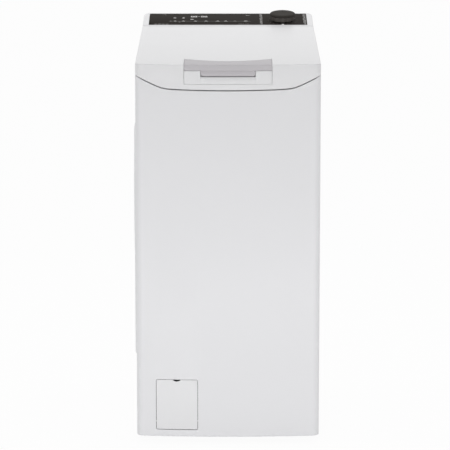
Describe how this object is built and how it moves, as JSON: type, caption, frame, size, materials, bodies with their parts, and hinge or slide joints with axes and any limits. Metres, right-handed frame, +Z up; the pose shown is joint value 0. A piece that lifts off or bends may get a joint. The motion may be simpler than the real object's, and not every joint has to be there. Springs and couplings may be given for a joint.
{
  "type": "top load washing machine",
  "caption": "Narrow top loading washing machine with a sloping hinged lid, a rear control panel with a dial, a drum that turns on a horizontal axis and a filter door at the bottom of the front.",
  "frame": {"origin": "on the floor, under the centre of the bounding box", "axes": "+Z up, the front towards -Y, +X to the right seen from the front"},
  "size_m": [0.4, 0.6, 0.8975],
  "materials": {
    "white_steel": "gloss",
    "zinc_sheet": "satin",
    "white_plastic": "gloss",
    "handle_grey": "satin",
    "fascia_dark": "satin",
    "knob_dark": "satin",
    "dispenser_pale": "satin",
    "board_green": "satin",
    "dark_plastic": "matte",
    "tub_plastic": "matte",
    "stainless": "satin",
    "zinc_steel": "satin",
    "cast_aluminium": "satin",
    "concrete": "matte",
    "rubber_black": "matte",
    "rubber_grey": "matte"
  },
  "bodies": {
    "cabinet": {"front_panel": "white_steel", "side_panel_left": "white_steel", "side_panel_right": "white_steel", "rear_panel": "zinc_sheet", "base_tray": "dark_plastic", "top_frame": "white_plastic", "console_housing": "white_plastic", "control_fascia": "fascia_dark", "control_board": "board_green", "door_lock": "dark_plastic", "lid_hinge_pin_left": "stainless", "lid_hinge_pin_right": "stainless", "damper_cylinder_front": "dark_plastic", "damper_cylinder_rear": "dark_plastic", "tub_spring_front_left": "zinc_steel", "tub_spring_front_right": "zinc_steel", "tub_spring_rear_left": "zinc_steel", "tub_spring_rear_right": "zinc_steel", "mouth_gasket": "rubber_grey", "drain_pump_housing": "tub_plastic", "drain_pump_motor": "cast_aluminium", "sump_hose": "rubber_black", "drain_hose": "rubber_grey", "cord_gland": "rubber_black", "inlet_valve": "white_plastic", "inlet_hose": "rubber_black", "pressure_switch": "dark_plastic"},
    "lid": {"lid_shell": "white_plastic", "lid_liner": "white_plastic", "detergent_dispenser": "dispenser_pale", "handle_bezel": "white_plastic"},
    "handle": {"handle_lever": "handle_grey"},
    "knob": {"program_knob": "knob_dark"},
    "filter_flap": {"filter_door": "white_plastic"},
    "pump_cap": {"filter_cap": "dark_plastic"},
    "foot_1": {"levelling_foot_1": "rubber_black"},
    "foot_2": {"levelling_foot_2": "rubber_black"},
    "foot_3": {"levelling_foot_3": "rubber_black"},
    "foot_4": {"levelling_foot_4": "rubber_black"},
    "tub": {"tub_half_left": "tub_plastic", "tub_half_right": "tub_plastic", "counterweight_front": "concrete", "counterweight_rear": "concrete", "heating_element": "stainless", "drum_bearing_left": "stainless", "drum_bearing_right": "stainless", "drive_motor": "cast_aluminium", "drive_belt": "rubber_black", "damper_rod_front": "zinc_steel", "damper_rod_rear": "zinc_steel"},
    "drum": {"drum_shell": "stainless", "drum_lifter_front": "tub_plastic", "drum_lifter_rear": "tub_plastic", "drum_shaft_left": "zinc_steel", "drum_shaft_right": "zinc_steel", "drum_pulley": "cast_aluminium"},
    "rotor": {"motor_rotor": "zinc_steel"},
    "flap_front": {"drum_flap_front": "stainless"},
    "flap_rear": {"drum_flap_rear": "stainless"},
    "catch": {"flap_catch": "dark_plastic"}
  },
  "joints": [
    {"name": "lid_hinge", "type": "hinge", "parent": "cabinet", "child": "lid", "pos_m": [0.0025, 0.171, 0.85529], "axis": [-1, 0, 0], "range_deg": [0, 100]},
    {"name": "handle_pull", "type": "hinge", "parent": "lid", "child": "handle", "pos_m": [0.0025, -0.2432, 0.8221], "axis": [-1, 0, 0], "range_deg": [0, 6], "stiffness_Nm_per_rad": 0.6, "springref_deg": -5.73},
    {"name": "knob_turn", "type": "hinge", "parent": "cabinet", "child": "knob", "pos_m": [0.1295, 0.23064, 0.87642], "axis": [0, -0.184, 0.9829], "continuous": true},
    {"name": "filter_flap_hinge", "type": "hinge", "parent": "cabinet", "child": "filter_flap", "pos_m": [-0.1079, -0.2852, 0.049], "axis": [1, 0, 0], "range_deg": [0, 90]},
    {"name": "pump_cap_turn", "type": "hinge", "parent": "cabinet", "child": "pump_cap", "pos_m": [-0.1079, -0.2652, 0.087], "axis": [0, 1, 0], "range_deg": [0, 90]},
    {"name": "foot_1_turn", "type": "hinge", "parent": "cabinet", "child": "foot_1", "pos_m": [-0.1475, -0.2032, 0.02], "axis": [0, 0, 1], "continuous": true},
    {"name": "foot_2_turn", "type": "hinge", "parent": "cabinet", "child": "foot_2", "pos_m": [0.1525, -0.2032, 0.02], "axis": [0, 0, 1], "continuous": true},
    {"name": "foot_3_turn", "type": "hinge", "parent": "cabinet", "child": "foot_3", "pos_m": [-0.1475, 0.24, 0.02], "axis": [0, 0, 1], "continuous": true},
    {"name": "foot_4_turn", "type": "hinge", "parent": "cabinet", "child": "foot_4", "pos_m": [0.1525, 0.24, 0.02], "axis": [0, 0, 1], "continuous": true},
    {"name": "tub_float", "type": "slide", "parent": "cabinet", "child": "tub", "axis": [0, 0, 1], "range_m": [-0.008, 0.008], "stiffness_N_per_m": 9000, "springref_m": 0.04055, "deforming": ["tub_spring_front_left", "tub_spring_front_right", "tub_spring_rear_left", "tub_spring_rear_right", "mouth_gasket", "sump_hose"]},
    {"name": "drum_spin", "type": "hinge", "parent": "tub", "child": "drum", "pos_m": [0.0025, 0, 0.455], "axis": [1, 0, 0], "continuous": true},
    {"name": "rotor_spin", "type": "hinge", "parent": "tub", "child": "rotor", "pos_m": [0.0025, 0.15, 0.12], "axis": [1, 0, 0], "continuous": true},
    {"name": "flap_front_hinge", "type": "hinge", "parent": "drum", "child": "flap_front", "pos_m": [0.0025, -0.09253, 0.66283], "axis": [-1, 0, 0], "range_deg": [0, 80], "stiffness_Nm_per_rad": 0.15, "springref_deg": -91.67},
    {"name": "flap_rear_hinge", "type": "hinge", "parent": "drum", "child": "flap_rear", "pos_m": [0.0025, 0.09253, 0.66283], "axis": [1, 0, 0], "range_deg": [0, 80], "stiffness_Nm_per_rad": 0.15, "springref_deg": -91.67},
    {"name": "catch_push", "type": "slide", "parent": "flap_front", "child": "catch", "axis": [0, -1, 0], "range_m": [0, 0.006], "stiffness_N_per_m": 300, "springref_m": -0.002}
  ],
  "couplings": [
    {"joint": "rotor_spin", "follows": "drum_spin", "ratio": 12.727}
  ]
}
